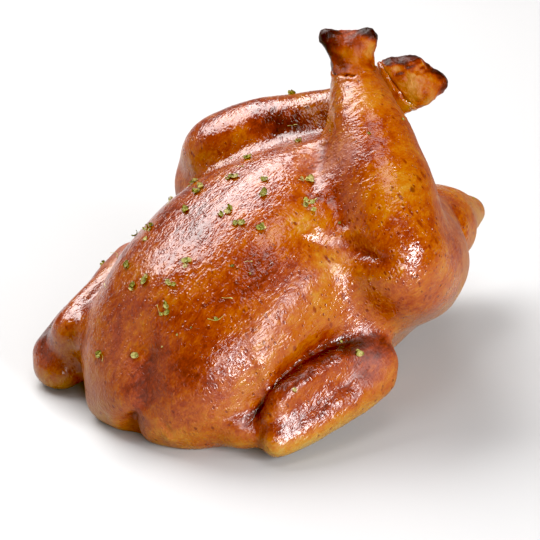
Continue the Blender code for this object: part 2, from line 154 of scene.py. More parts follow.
class Skin:
    """The points of a closed mesh and their neighbours, for moves of the skin as a whole."""

    def __init__(self, obj):
        self.obj = obj
        self.mesh = mesh = obj.data
        self.count = len(mesh.vertices)
        flat = np.empty(self.count * 3, np.float32)
        mesh.vertices.foreach_get("co", flat)
        self.points = flat.reshape(-1, 3).astype(float)
        ends = np.empty(len(mesh.edges) * 2, np.int32)
        mesh.edges.foreach_get("vertices", ends)
        ends = ends.reshape(-1, 2)
        self.here = np.concatenate([ends[:, 0], ends[:, 1]])
        self.there = np.concatenate([ends[:, 1], ends[:, 0]])
        self.degree = np.bincount(self.here, minlength=self.count).astype(float)

    def write(self):
        """Moves the mesh to where the points are."""
        self.mesh.vertices.foreach_set("co", self.points.astype(np.float32).ravel())
        self.mesh.update()

    def normals(self):
        """The way out of the skin at each point."""
        self.write()
        flat = np.empty(self.count * 3, np.float32)
        self.mesh.vertex_normals.foreach_get("vector", flat)
        return flat.reshape(-1, 3).astype(float)

    def mean_of_neighbours(self, values):
        """For each point, the mean of the values at the points that it shares an edge with."""
        total = np.bincount(self.here, weights=values[self.there], minlength=self.count)
        return total / self.degree

    def softened(self, values, times):
        """The values, spread out over the skin."""
        for _ in range(times):
            values = 0.5 * values + 0.5 * self.mean_of_neighbours(values)
        return values

    def smoothed(self, times):
        """Where the points would be on a softer skin."""
        return np.stack([self.softened(self.points[:, k], times) for k in range(3)], axis=1)

    def lift(self, height):
        """Moves each point outwards by its own height."""
        self.points += self.normals() * height[:, None]

    def press(self, path, width, depth):
        """A crease of the given depth along a path; a negative depth raises a ridge."""
        distance, share = along_path(self.points, path)
        ends = np.clip(np.minimum(share, 1 - share) / 0.15, 0.2, 1)
        self.lift(-depth * ends * np.exp(-(distance / width) ** 2))

    def hollows(self, times):
        """How far each point lies below a softened skin: above 0 in valleys, below 0 on ridges."""
        return ((self.smoothed(times) - self.points) * self.normals()).sum(axis=1)

    def paint(self, name, values):
        """Keeps a value from 0 to 1 for each point, which the materials read by its name."""
        attribute = self.mesh.attributes.new(name, "FLOAT", "POINT")
        attribute.data.foreach_set("value", np.clip(values, 0, 1).astype(np.float32))


def along_path(points, path):
    """Distance from each point to a bent line, and the share of the way along the line."""
    path = np.array(path, float)
    lengths = np.linalg.norm(np.diff(path, axis=0), axis=1)
    nearest = np.full(len(points), np.inf)
    share = np.zeros(len(points))
    passed = 0.0
    for a, b, length in zip(path, path[1:], lengths):
        t = np.clip((points - a) @ (b - a) / length ** 2, 0, 1)
        distance = np.linalg.norm(points - a - t[:, None] * (b - a), axis=1)
        better = distance < nearest
        nearest[better] = distance[better]
        share[better] = (passed + t[better] * length) / lengths.sum()
        passed += length
    return nearest, share


def ease(values, low, high):
    """0 below low, 1 above high and a smooth rise between; high may be the smaller one."""
    t = np.clip((values - low) / (high - low), 0, 1)
    return t * t * (3 - 2 * t)


def waves(points, size, seed):
    """Smooth noise from about -1 to 1 whose bumps are about the given size."""
    moved = points / size + np.array([seed * 7.31, seed * 3.17, seed * 5.93])
    return np.array([noise.noise(Vector(p)) for p in moved]) * 1.6


def blob(points, centre, radius):
    """1 at the centre, fading out over the radius, which may differ along x, y and z."""
    away = (points - at(centre)) / mm(radius)
    return np.exp(-(away ** 2).sum(axis=1))


def new_object(name, data):
    """An object in the scene that shows a mesh, a lamp or a camera."""
    obj = bpy.data.objects.new(name, data)
    bpy.context.scene.collection.objects.link(obj)
    return obj


def mesh_object(name, bm):
    """An object with the mesh that was built in bm."""
    mesh = bpy.data.meshes.new(name)
    bm.to_mesh(mesh)
    bm.free()
    return new_object(name, mesh)


def keep_result(obj):
    """Turns the result of the object's modifiers into its plain mesh."""
    mesh = bpy.data.meshes.new_from_object(obj.evaluated_get(bpy.context.evaluated_depsgraph_get()))
    mesh.name = obj.name
    obj.modifiers.clear()
    obj.data = mesh


def finish_piece(obj, material):
    """One finish, one body and one slot for a piece."""
    obj.data.materials.clear()
    obj.data.materials.append(material)
    obj.data.shade_smooth()
    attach(obj, BODY)
    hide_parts(NODE)


def cad_form(name, edge=None):
    """The CAD node's own form; with an edge, only the ankle joint beyond that edge, closed off."""
    bm = bmesh.new()
    bm.from_mesh(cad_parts[NODE].data)
    bmesh.ops.remove_doubles(bm, verts=bm.verts, dist=1e-5)
    if edge:
        place, direction = Vector(at(edge[0])), Vector(edge[1]).normalized()
        start = place - direction * JOINT_ROOT
        bmesh.ops.bisect_plane(bm, geom=bm.verts[:] + bm.edges[:] + bm.faces[:], plane_co=start,
                               plane_no=direction, clear_inner=True)
        far = [v for v in bm.verts if (v.co - place).length > JOINT_REACH]
        bmesh.ops.delete(bm, geom=far, context="VERTS")
        bmesh.ops.holes_fill(bm, edges=[e for e in bm.edges if e.is_boundary], sides=0)
        bmesh.ops.recalc_face_normals(bm, faces=bm.faces)
    return mesh_object(name, bm)


def fine_form(name, spacing, smoothing, edge=None):
    """A fine even mesh over the CAD node's form, without its facets."""
    obj = cad_form(name, edge)
    remesh = obj.modifiers.new("fine mesh", "REMESH")
    remesh.mode = "VOXEL"
    remesh.voxel_size = spacing
    keep_result(obj)
    form = Skin(obj)
    form.points = form.smoothed(smoothing)
    return form


# ---------------- legs, wings and their zones
# Bones in millimetres: knee to ankle, and wrist to elbow of each wing.
KNEE = {RIGHT: (58, 0, 71), LEFT: (-54, 6, 80)}
ANKLE = {RIGHT: (-6, 34, 137), LEFT: (7, 61, 121)}
WRIST = {RIGHT: (61, -80, 10), LEFT: (-67, -96, 13)}
ELBOW = {RIGHT: (67, -24, 25), LEFT: (-69, -44, 30)}
ELBOW_MIDDLE = {RIGHT: (65, -24, 28), LEFT: (-68, -44, 35)}
# A shank's length in metres.
SHANK_LENGTH = 0.08
# How far the flesh reaches from the bones, in metres: at the knee, how much less at the ankle, and
# at the wing.
LEG_REACH = 0.034
LEG_TAPER = 0.014
WING_REACH = 0.017
# Rim of the skin round each ankle, in millimetres: how high, how wide and how far before the edge.
RIM_HEIGHT = 0.55
RIM_WIDTH = 1.1
RIM_SETBACK = 0.9
# How far the skin sinks past its edge, how far the joint's hidden end sinks, and how deep under the
# skin that end has to lie, in millimetres.
SKIN_DROP = 1.9
JOINT_DROP = 1.3
TUCK_DEPTH = 0.9
# Where the skin ends round each ankle: a point on the bone and the way that the cut edge faces.
SKIN_EDGE = {
    RIGHT: ((-5.5, 33.8, 134), (-0.25, 0.05, 0.97)),
    LEFT: ((4, 57.5, 120.5), (0.53, 0.60, 0.60)),
}


def past_edge(points, hand):
    """How far each point lies past the skin's edge at an ankle, and which points are near it."""
    place, direction = SKIN_EDGE[hand]
    away = points - at(place)
    past = away @ (np.array(direction) / np.linalg.norm(direction))
    near = np.linalg.norm(away, axis=1) < JOINT_REACH
    return np.where(near, past, -1.0), near


def leg_zone(points, hand):
    """1 on the drumstick, fading out towards the thigh and the body."""
    distance, share = along_path(points, at([KNEE[hand], ANKLE[hand]]))
    reach = LEG_REACH - LEG_TAPER * share
    return ease(distance, reach + 0.006, reach - 0.002) * ease(share, 0.12, 0.32)


def wing_zone(points, hand):
    """1 on the wing, fading out around it."""
    distance = along_path(points, at([WRIST[hand], ELBOW[hand]]))[0]
    return ease(distance, WING_REACH + 0.009, WING_REACH)


def undulations(skin):
    """The low swells of the meat: calmer on top of the breast, and none where the bird rests."""
    p = skin.points
    calm = 1 - 0.35 * ease(p[:, 2], 0.06, 0.09) * ease(p[:, 1], 0.0, -0.03)
    flat = ease(p[:, 2], 0.0005, 0.006)
    swell = sum(height * waves(p, size, seed) for height, size, seed in SWELLS)
    skin.lift(mm(swell) * calm * flat)


def gather(skin, distance, length, height, share, seed):
    """Broken ripples of the given length and height, one behind another as the distance grows."""
    wobble = waves(skin.points, 0.012, seed) * length * 0.9
    broken = 0.55 + 0.45 * waves(skin.points, 0.006, seed + 1)
    ripple = np.sin((distance + wobble) * 2 * pi / length)
    skin.lift(height * ripple * np.clip(broken, 0, 1) * share)


def gathers(skin):
    """Skin that shrank: rings round each shank, arcs round each elbow, pleats where the thigh starts."""
    for hand in (RIGHT, LEFT):
        share = along_path(skin.points, at([KNEE[hand], ANKLE[hand]]))[1]
        shank = leg_zone(skin.points, hand) * ease(share, 0.45, 0.7)
        gather(skin, share * SHANK_LENGTH, 0.0037, mm(0.22), shank, 31 + hand)
        middle = at(ELBOW_MIDDLE[hand])
        reach = np.linalg.norm(skin.points - middle, axis=1)
        away = ease((skin.points - middle)[:, 1], -0.012, 0.004) * ease(reach, 0.022, 0.015)
        from_side = np.linalg.norm((skin.points - middle)[:, 1:], axis=1)
        gather(skin, from_side, 0.0030, mm(0.24), away, 35 + hand)
    for centre, radius, way, length, height, seed in PLEATS:
        zone = blob(skin.points, centre, radius)
        gather(skin, skin.points @ np.array(way), length, mm(height), zone, seed)


def end_skin(skin, hand):
    """Ends the skin round an ankle: a low thick rim, and beyond it skin drawn in under the joint."""
    past, near = past_edge(skin.points, hand)
    ragged = skin.points[near]
    past[near] += mm(1.1) * waves(ragged, 0.006, 11) + mm(0.5) * waves(ragged, 0.0025, 12)
    rim = np.exp(-((past + mm(RIM_SETBACK)) / mm(RIM_WIDTH)) ** 2)
    skin.lift(mm(RIM_HEIGHT) * rim - mm(SKIN_DROP) * ease(past, mm(-0.2), mm(0.9)))


def shape_skin(skin):
    """Creases, lumps, swells, gathers and the skin's ends, all of it above the table."""
    for path, width, depth in CREASES:
        skin.press(at(path), mm(width), mm(depth))
    for centre, radius, height in SKIN_LUMPS:
        skin.lift(mm(height) * blob(skin.points, centre, radius))
    undulations(skin)
    gathers(skin)
    end_skin(skin, RIGHT)
    end_skin(skin, LEFT)
    skin.points[:, 2] = np.maximum(skin.points[:, 2], 0)
    skin.write()


# ---------------- ankle joints
JOINT_NAMES = {RIGHT: "ankle_joint_right", LEFT: "ankle_joint_left"}
# Lumps and pits on each joint: centre, radius and height in millimetres.
JOINT_LUMPS = {
    RIGHT: [
        ((-14, 24, 150), (4, 4, 5), 1.2),
        ((0, 40, 150), (4.5, 4.5, 5), 1.3),
        ((-7, 32, 155), 4, -1.6),
        ((2, 27, 145), (2.5, 2.5, 5), 0.8),
        ((-3, 24, 140), (3, 3, 4), -1.2),
        ((6, 36, 141), (3, 3, 4), -0.8),
    ],
    LEFT: [
        ((0, 53, 131), (5, 5, 4), 0.9),
        ((15, 70, 124), (4, 4, 5), 1.0),
        ((13, 60, 127), 2.6, -1.8),
        ((9, 53, 127), 3, 0.7),
        ((16, 62, 119), 3, 0.6),
    ],
}
# How charred each joint is all over, then patches with their centre, radius and amount.
CHARRING = {
    RIGHT: (0.34, [
        ((6, 37, 146), (5, 6, 8), -0.3),
        ((-15, 25, 151), 5, 1.0),
        ((2, 42, 151), 5, 1.0),
        ((-13, 23, 142), (6, 6, 10), 0.6),
    ]),
    LEFT: (0.06, [
        ((18, 72, 124), (7, 7, 9), 0.8),
        ((13, 60, 127), 2.4, 0.5),
    ]),
}


def tuck_in(joint, past, skin):
    """Keeps the joint's hidden end under the skin."""
    tree = BVHTree.FromObject(skin.obj, bpy.context.evaluated_depsgraph_get())
    depth = mm(TUCK_DEPTH) * ease(past, mm(-0.2), mm(-1.5))
    for k in np.nonzero(depth > 0)[0]:
        place = Vector(joint.points[k])
        found, normal, _, _ = tree.find_nearest(place)
        if (place - found).dot(normal) > -depth[k]:
            joint.points[k] = found - normal * depth[k]


def charring(joint, hand):
    """How burnt each point of a joint is: most of all at its top."""
    height = joint.points[:, 2]
    if hand == RIGHT:
        top = 0.45 * ease(height, mm(149), mm(154))
    else:
        top = 0.75 * ease(height, mm(124), mm(131)) * ease(joint.normals()[:, 2], 0.45, 0.9)
    overall, patches = CHARRING[hand]
    return overall + top + sum(amount * blob(joint.points, *patch) for *patch, amount in patches)


def ankle_joint(hand, skin):
    """The bare joint past the skin's edge: gristle and bone, charred along the top."""
    joint = fine_form(JOINT_NAMES[hand], JOINT_SPACING, JOINT_SMOOTHING, SKIN_EDGE[hand])
    past, _ = past_edge(joint.points, hand)
    joint.lift(-mm(JOINT_DROP) * ease(past, mm(0.6), mm(-1.2)))
    for centre, radius, height in JOINT_LUMPS[hand]:
        joint.lift(mm(height) * blob(joint.points, centre, radius))
    p = joint.points
    joint.lift(mm(0.45) * waves(p, 0.0045, 21) + mm(0.22) * waves(p, 0.0018, 22))
    tuck_in(joint, past, skin)
    joint.paint("burnt", joint.softened(charring(joint, hand) + 0.25 * waves(p, 0.004, 23), 2))
    # The joint's hollows are kept as the crease attribute, which the material paints darker: painted
    # shade.
    joint.paint("crease", joint.softened(ease(joint.hollows(16), 0.0002, 0.0009), 2))
    return joint


# ---------------- how the roasting coloured the skin
BROWN_ALL_OVER = 0.34
# Centre, radius and amount: above 0 the skin is browner, below 0 it stays golden.
BROWNING = [
    ((34, -66, 75), (9, 16, 14), 0.25),
    ((26, -88, 62), (10, 12, 14), 0.10),
    ((-6, -60, 88), (18, 38, 20), 0.18),
    ((-34, -60, 70), (16, 34, 20), 0.08),
    ((10, -106, 42), (40, 18, 26), 0.09),
    # The dent and the cleft at the neck end, darker as painted shade.
    ((12, -113, 28), (8, 10, 15), 0.26),
    ((4, -116, 12), (7, 10, 12), 0.26),
    ((37, 0, 118), (10, 12, 14), 0.16),
    ((36, -15, 97), (10, 11, 10), 0.16),
    # The fold under the right knee, darker as painted shade.
    ((60, -22, 80), (18, 7, 5), 0.16),
    ((68, -22, 60), (14, 10, 12), 0.10),
    # The left leg's valley against the breast, darker as painted shade.
    ((-29, 12, 107), (24, 8, 8), 0.26),
    ((-60, -4, 98), (14, 18, 18), 0.06),
    ((-62, -100, 14), (20, 14, 18), 0.12),
    ((-56, -94, 29), (12, 18, 9), 0.16),
    ((56, -1, 106), (18, 18, 16), -0.20),
    ((74, -12, 56), (18, 24, 14), 0.16),
    ((36, -100, 38), (12, 10, 12), 0.12),
    ((42, -92, 46), (9, 9, 10), 0.10),
    ((12, -6, 109), (12, 14, 11), 0.04),
    ((32, -36, 91), (9, 11, 8), -0.24),
    ((49, -31, 76), (10, 9, 8), -0.22),
    ((54, -42, 60), (10, 24, 14), -0.12),
    ((46, -92, 26), (12, 14, 16), -0.06),
    ((25, -112, 9), (10, 8, 8), -0.08),
    ((-6, -116, 8), (10, 8, 8), -0.08),
    ((22, 19, 133), (10, 12, 14), -0.20),
    ((5, 10, 122), (7, 9, 12), -0.14),
    ((-1, 100, 47), (18, 16, 14), -0.26),
    ((72, -66, 8), (10, 34, 9), -0.18),
    ((30, -108, 24), (14, 12, 18), 0.14),
    ((46, -95, 22), (10, 10, 14), 0.10),
]
# Bands along the right wing painted browner, partly browning and partly painted shade where the wing meets
# the body: path, amount and half width in millimetres.
WING_BROWNING_AND_SHADE = [(WING_TOP, 0.10, 6), (WING_CREST, 0.16, 8)]

# Small burnt scabs: centre and radius in millimetres.
SCABS = [
    ((33, -67, 76), 1.8), ((30, -74, 73), 1.5), ((27, -70, 78), 1.3), ((45, -77, 57), 1.5),
    ((24, -88, 65), 1.6), ((31, -92, 58), 1.7), ((-18, -8, 103), 1.6), ((-40, -86, 57), 2.0),
    ((-29, -72, 78), 1.5), ((36, -58, 80), 1.4), ((-22, 22, 113), 1.5), ((62, 4, 104), 1.6),
    ((78, 2, 88), 1.5), ((80, -12, 72), 1.4), ((-66, 6, 98), 1.8), ((-60, -22, 66), 1.7),
    ((-52, -60, 60), 1.6), ((0, 60, 84), 1.8), ((30, 62, 70), 1.6), ((-34, 58, 72), 1.6),
    ((12, 98, 52), 1.2), ((68, -60, 36), 1.3), ((-66, -80, 38), 1.4),
]

# Where the skin stayed dry and shines less: centre and radius in millimetres.
MATTE = [
    ((14, -6, 108), (9, 13, 11)),
    ((27, -4, 112), (9, 11, 10)),
    ((10, -112, 20), (40, 14, 34)),
    ((12, 104, 48), (20, 14, 16)),
    ((-74, -30, 60), (20, 60, 26)),
    ((72, -30, 36), (11, 11, 10)),
    ((76, -26, 30), 10),
]

# A drier band with many pores runs down the side of the breast: its path and half width in metres.
PORE_BAND = [(49, -74, 52), (46, -56, 66), (47, -30, 80)]
PORE_BAND_WIDTH = 0.011
PORES_ALL_OVER = 0.24
# Thighs with many pores: centre and radius in millimetres.
PORE_THIGHS = [((70, -6, 84), (30, 30, 34)), ((-70, 0, 84), (30, 30, 34))]


def paint_skin(skin):
    """Keeps for the material how brown, pored, burnt and dry the skin is, its creases as painted shade,
    and its zones.
    """
    p = skin.points
    backward, up = skin.normals()[:, 1:].T
    # Upward and higher skin browns more, and so do the wings' tops. Hollows are painted browner as painted
    # shade, and ridges a little paler as painted light.
    brown = BROWN_ALL_OVER + 0.16 * ease(up, -0.5, 0.7) + 0.05 * ease(p[:, 2], 0.02, 0.10)
    for centre, radius, amount in BROWNING:
        brown = brown + amount * blob(p, centre, radius)
    wings = np.maximum(wing_zone(p, RIGHT), wing_zone(p, LEFT))
    brown = brown + wings * (0.24 * ease(up, 0.1, 0.9) - 0.10 * ease(up, 0.1, -0.6))
    # Browner bands along the wing: browning, and painted shade where it meets the body.
    for path, amount, width in WING_BROWNING_AND_SHADE:
        beside = along_path(p, at(path))[0]
        brown = brown + amount * np.exp(-(beside / mm(width)) ** 2)
    # Painted shade in the hollows, painted light on the ridges.
    hollow = skin.hollows(30)
    brown = brown + 0.10 * ease(hollow, 0.0, 0.0012) - 0.05 * ease(hollow, 0.0, -0.0009)
    skin.paint("browning", skin.softened(brown, 3))
    # Deep hollows are kept as the crease attribute, which the material paints darker: painted shade.
    deep = ease(skin.hollows(14), 0.00035, 0.0016)
    skin.paint("crease", skin.softened(deep, 2))
    thigh = np.maximum(*(blob(p, centre, radius) for centre, radius in PORE_THIGHS))
    band = np.exp(-(along_path(p, at(PORE_BAND))[0] / PORE_BAND_WIDTH) ** 2)
    skin.paint("pores", PORES_ALL_OVER + thigh + 0.9 * band)
    skin.paint("scabs", sum(blob(p, centre, radius) for centre, radius in SCABS))
    dry = sum(blob(p, centre, radius) for centre, radius in MATTE)
    # Skin that faces backwards is dry.
    skin.paint("matte", 0.6 * band + 1.5 * ease(backward, 0.2, 0.6) + dry)
    skin.paint("right_leg", leg_zone(p, RIGHT))
    skin.paint("left_leg", leg_zone(p, LEFT))
    skin.paint("wings", wings)


# ---------------- node trees
class Graph:
    """Adds nodes to a tree and joins their sockets, so that a material reads line by line."""

    def __init__(self, tree):
        self.tree = tree

    def feed(self, socket, value):
        """Joins another node's socket to this one, or gives it a plain value."""
        if isinstance(value, bpy.types.NodeSocket):
            self.tree.links.new(value, socket)
        else:
            socket.default_value = value

    def node(self, kind, inputs=None, **settings):
        """A new node with its inputs fed and its settings set."""
        made = self.tree.nodes.new(kind)
        for key, value in settings.items():
            setattr(made, key, value)
        for key, value in (inputs or {}).items():
            self.feed(made.inputs[key], value)
        return made

    def math(self, operation, a, b=0.0):
        """One step of arithmetic."""
        return self.node("ShaderNodeMath", {0: a, 1: b}, operation=operation).outputs[0]

    def total(self, value, *parts):
        """The value and each part times its weight, added up."""
        for part, weight in parts:
            value = self.math("ADD", value, self.math("MULTIPLY", part, weight))
        return value

    def between(self, value, low, high):
        """0 below low, 1 above high, smooth between."""
        return self.node("ShaderNodeMapRange", {"Value": value, "From Min": low, "From Max": high},
                         interpolation_type="SMOOTHSTEP").outputs["Result"]

    def noise(self, vector, size, detail=2.0, roughness=0.5):
        """Noise about 0.5 whose patches are about the given size in metres."""
        return self.node("ShaderNodeTexNoise", {"Vector": vector, "Scale": 1 / size, "Detail": detail,
                                                "Roughness": roughness}).outputs["Fac"]

    def mix(self, factor, a, b):
        """Colour a where the factor is 0 and colour b where it is 1."""
        return self.node("ShaderNodeMix", {0: factor, 6: a, 7: b}, data_type="RGBA").outputs[2]

    def place(self):
        """Each point's place on the piece."""
        return self.node("ShaderNodeTexCoord").outputs["Object"]

    def attribute(self, name):
        """A value that was painted on the piece."""
        return self.node("ShaderNodeAttribute", attribute_name=name).outputs["Fac"]

    def group(self, tree, **inputs):
        """A node group with its inputs fed, and all its outputs."""
        return self.node("ShaderNodeGroup", inputs, node_tree=tree).outputs


def new_group(name, numbers, *outputs):
    """A shader node group that takes a vector and some numbers, with its graph and its sockets."""
    tree = bpy.data.node_groups.new(name, "ShaderNodeTree")
    tree.interface.new_socket("Vector", in_out="INPUT", socket_type="NodeSocketVector")
    for socket, value in numbers.items():
        made = tree.interface.new_socket(socket, in_out="INPUT", socket_type="NodeSocketFloat")
        made.default_value = value
    for socket in outputs:
        tree.interface.new_socket(socket, in_out="OUTPUT", socket_type="NodeSocketFloat")
    graph = Graph(tree)
    return tree, graph, graph.node("NodeGroupInput").outputs, graph.node("NodeGroupOutput").inputs


def srgb(red, green, blue):
    """A colour as it is seen, from 0 to 255, turned into the linear values that shaders take."""
    seen = np.array([red, green, blue]) / 255
    linear = np.where(seen < 0.04045, seen / 12.92, ((seen + 0.055) / 1.055) ** 2.4)
    return (*linear, 1.0)


def wrinkle_group():
    """Fine wrinkles of shrunken skin: strokes that run along the stretched axis of their vector."""
    tree, g, given, out = new_group("skin wrinkles", {"Size": 0.001}, "Height")
    vector = given["Vector"]
    scale = g.math("DIVIDE", 1.0, given["Size"])
    warp = g.node("ShaderNodeTexNoise", {"Vector": vector, "Scale": g.math("MULTIPLY", scale, 0.35)})
    bend = g.node("ShaderNodeVectorMath", {0: warp.outputs["Color"], 1: (0.5, 0.5, 0.5)},
                  operation="SUBTRACT").outputs[0]
    far = g.node("ShaderNodeVectorMath", {0: bend, "Scale": g.math("MULTIPLY", given["Size"], 2.2)},
                 operation="SCALE").outputs[0]
    moved = g.node("ShaderNodeVectorMath", {0: vector, 1: far}, operation="ADD").outputs[0]
    strokes = g.node("ShaderNodeTexNoise", {"Vector": moved, "Scale": scale, "Roughness": 0.55})
    away = g.math("ABSOLUTE", g.math("SUBTRACT", strokes.outputs["Fac"], 0.5))
    g.feed(out["Height"], g.between(away, 0.0, 0.22))
    return tree


def cells(g, given, randomness):
    """Cells on the skin: distance to the middle, a random number and whether the cell is kept."""
    scale = g.math("DIVIDE", 1.0, given["Spacing"])
    made = g.node("ShaderNodeTexVoronoi",
                  {"Vector": given["Vector"], "Scale": scale, "Randomness": randomness})
    chance = g.node("ShaderNodeSeparateColor", {0: made.outputs["Color"]}).outputs
    kept = g.math("LESS_THAN", chance[0], given["Share"])
    return made.outputs["Distance"], chance[1], kept


def pore_group():
    """Feather pores: small round dots, only some of them dark, each in a low raised ring."""
    tree, g, given, out = new_group(
        "feather pores", {"Spacing": 0.004, "Share": 0.5, "Dot": 0.14}, "Mask", "Height")
    distance, chance, kept = cells(g, given, 0.85)
    dot = g.math("MULTIPLY", given["Dot"], g.math("ADD", 0.5, chance))
    near = g.between(distance, dot, g.math("MULTIPLY", dot, 0.45))
    ring = g.between(distance, g.math("MULTIPLY", dot, 2.2), dot)
    g.feed(out["Mask"], g.math("MULTIPLY", near, kept))
    g.feed(out["Height"], g.math("SUBTRACT", ring, g.math("MULTIPLY", near, 1.6)))
    return tree


def mottle_group():
    """Patches at two sizes, from -1 to 1."""
    tree, g, given, out = new_group("roasted mottling", {"Size": 0.01, "Finer": 0.4}, "Amount")

    def patches(scale, detail):
        made = g.node("ShaderNodeTexNoise", {"Vector": given["Vector"], "Scale": scale, "Detail": detail})
        return g.math("MULTIPLY", g.math("SUBTRACT", made.outputs["Fac"], 0.5), 4.0)

    scale = g.math("DIVIDE", 1.0, given["Size"])
    wide = patches(scale, 1.0)
    fine = patches(g.math("MULTIPLY", scale, 4.3), 2.0)
    g.feed(out["Amount"], g.total(wide, (fine, given["Finer"])))
    return tree


def pimple_group():
    """Tiny round bumps, well apart, as grains of seasoning under the glaze make."""
    tree, g, given, out = new_group("seasoning bumps", {"Spacing": 0.0034, "Share": 0.55}, "Height")
    distance, _, kept = cells(g, given, 1.0)
    g.feed(out["Height"], g.math("MULTIPLY", g.between(distance, 0.17, 0.02), kept))
    return tree


WRINKLES = wrinkle_group()
PIMPLES = pimple_group()
PORES = pore_group()
MOTTLING = mottle_group()


def new_material(name, values):
    """A material, its graph and its shader, whose inputs get the values."""
    material = bpy.data.materials.new(name)
    material.use_nodes = True
    shader = material.node_tree.nodes["Principled BSDF"]
    for key, value in values.items():
        shader.inputs[key].default_value = value
    return material, Graph(material.node_tree), shader


def ramp(g, factor, stops, colour_of):
    """A colour ramp through stops of a place and a seen colour, which colour_of makes a shader's."""
    made = g.node("ShaderNodeValToRGB", {0: factor})
    elements = made.color_ramp.elements
    while len(elements) < len(stops):
        elements.new(0.5)
    for element, (place, *seen) in zip(elements, stops):
        element.position = place
        element.color = colour_of(*seen)
    return made.outputs["Color"]


def roughen(g, shader, height, distance, strength=1.0):
    """Bumps on the surface: the height's distance in metres from 0 to 1."""
    bump = g.node("ShaderNodeBump", {"Height": height, "Distance": distance, "Strength": strength})
    g.feed(shader.inputs["Normal"], bump.outputs["Normal"])


# The share of light that a surface gives back, next to how bright it seems under the softboxes.
LIGHT_SHARE = 0.41


def tone(red, green, blue):
    """A colour as it is seen under the softboxes, turned into the share of light it gives back."""
    linear = np.array(srgb(red, green, blue)[:3]) * LIGHT_SHARE
    return (*linear, 1.0)


# From the palest skin to the darkest: place on the ramp and the colour as it is seen.
ROASTED = [
    (0.00, 230, 186, 92),
    (0.18, 226, 158, 56),
    (0.34, 218, 128, 34),
    (0.50, 204, 99, 30),
    (0.66, 174, 65, 30),
    (0.82, 126, 42, 28),
    (1.00, 76, 26, 24),
]

# Ways that the skin's detail runs: strokes on the breast, and rows of pores.
BREAST_GRAIN = (0.05, 0.86, 0.5)
PORE_GRAIN = (0.61, 0.10, -0.78)


def drawn_out(g, vector, axis, along=1.0, around=1.0):
    """The vector, turned so that its detail is drawn out along an axis, or around it as rings."""
    turn = Vector(axis).normalized().to_track_quat("X", "Z").inverted().to_euler()
    turned = g.node("ShaderNodeMapping", {"Vector": vector, "Rotation": turn}).outputs[0]
    scale = (1 / along, 1 / around, 1 / around)
    return g.node("ShaderNodeMapping", {"Vector": turned, "Scale": scale}).outputs[0]


def skin_wrinkles(g, place):
    """Fine wrinkles: strokes along the breast, and rings round each shank."""
    strokes = drawn_out(g, place, BREAST_GRAIN, along=2.6)
    height = g.group(WRINKLES, Vector=strokes, Size=0.0024)["Height"]
    for hand, zone in ((RIGHT, "right_leg"), (LEFT, "left_leg")):
        bone = Vector(ANKLE[hand]) - Vector(KNEE[hand])
        rings = g.group(WRINKLES, Vector=drawn_out(g, place, bone, around=3.0), Size=0.0019)
        height = g.node("ShaderNodeMix", {0: g.attribute(zone), 2: height, 3: rings["Height"]}).outputs[0]
    return height


def skin_pores(g, place, stretch, spacing, share, dot):
    """Feather pores in a share of their cells, fewer where the skin has few."""
    return g.group(PORES, Vector=drawn_out(g, place, PORE_GRAIN, along=stretch), Spacing=spacing,
                   Share=g.math("MULTIPLY", g.attribute("pores"), share), Dot=dot)


def skin_material():
    """Glazed roast skin: gold to mahogany, fine wrinkles and feather pores, with creases and wrinkle
    valleys painted darker as painted shade.
    """
    material, g, shader = new_material("glazed roast skin", {
        "IOR": 1.5, "Specular IOR Level": 0.5, "Subsurface Weight": 0.06,
        "Subsurface Radius": (1.0, 0.3, 0.08), "Subsurface Scale": 0.003})
    place = g.place()
    wrinkles = skin_wrinkles(g, place)
    dots = skin_pores(g, place, 1.7, 0.0022, 0.85, 0.28)
    strokes = skin_pores(g, place, 2.6, 0.0036, 0.60, 0.27)
    streaky = drawn_out(g, place, BREAST_GRAIN, along=2.0)
    patches = g.group(MOTTLING, Vector=place, Size=0.016, Finer=0.55)["Amount"]
    blotches = g.group(MOTTLING, Vector=streaky, Size=0.0032, Finer=0.8)["Amount"]
    scab = g.between(g.total(g.attribute("scabs"), (blotches, 0.16)), 0.30, 0.75)

    # Painted shade: the crease attribute darkens the skin's hollows, and wrinkle valleys come out a little
    # darker.
    level = g.total(g.attribute("browning"), (patches, 0.10), (blotches, 0.09),
                    (g.math("SUBTRACT", 0.4, wrinkles), 0.10), (g.attribute("crease"), 0.18))
    colour = ramp(g, level, ROASTED, tone)
    colour = g.mix(g.math("MULTIPLY", dots["Mask"], 0.85), colour, tone(140, 42, 22))
    colour = g.mix(g.math("MULTIPLY", strokes["Mask"], 0.75), colour, tone(150, 46, 22))
    colour = g.mix(g.math("MULTIPLY", scab, 0.75), colour, tone(116, 34, 22))
    g.feed(shader.inputs["Base Color"], colour)

    matte = g.attribute("matte")
    glaze = g.node("ShaderNodeMapRange", {"Value": g.noise(place, 0.006), "From Min": 0.3, "From Max": 0.7,
                                          "To Min": 0.10, "To Max": 0.18}).outputs["Result"]
    g.feed(shader.inputs["Roughness"], g.total(glaze, (matte, 0.36), (g.attribute("wings"), 0.10)))

    pebbles = g.noise(place, 0.0013, 2.5, 0.6)
    lumps = g.noise(place, 0.0032, 1.0)
    pimples = g.group(PIMPLES, Vector=place)["Height"]
    pebble_height = g.total(0.06, (matte, 0.14))
    height = g.total(g.math("MULTIPLY", wrinkles, 0.10), (pebbles, pebble_height), (lumps, 0.10),
                     (dots["Height"], 0.07), (scab, 0.10), (pimples, 0.16))
    roughen(g, shader, height, 0.001)
    return material


JOINT_TONES = [
    (0.00, 226, 152, 66),
    (0.26, 208, 104, 28),
    (0.46, 172, 62, 18),
    (0.70, 104, 34, 20),
    (1.00, 46, 18, 28),
]


